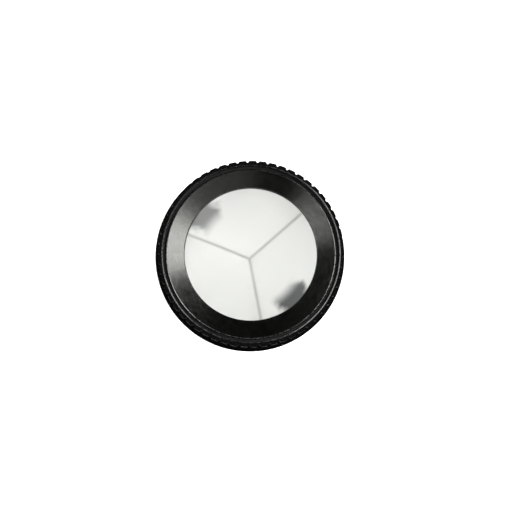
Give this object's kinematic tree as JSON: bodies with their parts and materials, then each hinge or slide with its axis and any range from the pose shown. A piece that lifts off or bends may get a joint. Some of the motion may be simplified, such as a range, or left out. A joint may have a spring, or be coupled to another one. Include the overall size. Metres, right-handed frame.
{
  "type": "survey prism",
  "caption": "Round survey prism: a glass corner cube in a black canister with a knurled screw-on front cap, a smooth flange and a threaded rear foot.",
  "frame": {"origin": "centre of the flat rear face", "axes": "+Z along the optical axis, out of the glass; +X towards the locating pin"},
  "size_m": [0.0356, 0.0356, 0.034],
  "materials": {
    "anodised_gloss": "black anodised, lightly glossy, fine turned lines",
    "anodised_satin": "black anodised, satin, turned in fine concentric lines",
    "anodised_matt": "black anodised, matt",
    "glass": "polished optical glass with an anti-reflection coat",
    "silver": "silvered",
    "paint": "copper-coloured protective paint",
    "rubber": "smooth black rubber",
    "ptfe": "white PTFE",
    "moulded": "black moulded acetal",
    "stainless": "turned stainless steel",
    "brass": "rolled brass"
  },
  "bodies": {
    "canister": {"face_seal": "rubber", "cap_seal": "rubber", "prism_glass": "glass", "silver_coating": "silver", "backing_paint": "paint", "facet_pads": "rubber", "rim_pads": "rubber", "prism_cell": "moulded", "locating_pin": "stainless", "cell_cushion": "rubber", "cell_shim": "brass", "front_housing": "anodised_matt", "tail_housing": "anodised_matt", "tail_seal": "rubber", "tail_set_screws": "stainless", "threaded_insert": "stainless", "insert_keys": "stainless"},
    "slip": {"slip_ring": "ptfe"},
    "cap": {"grip_ring": "anodised_gloss", "bezel_ring": "anodised_satin"}
  },
  "joints": [
    {"name": "cap_travel", "type": "slide", "parent": "canister", "child": "slip", "axis": [0, 0, 1], "range_m": [0, 0.0045]},
    {"name": "cap_turn", "type": "hinge", "parent": "slip", "child": "cap", "pos_m": [0, 0, 0], "axis": [0, 0, 1], "range_deg": [0, 2160]}
  ],
  "couplings": [
    {"joint": "cap_travel", "follows": "cap_turn", "m_per_rad": 0.00011937}
  ]
}
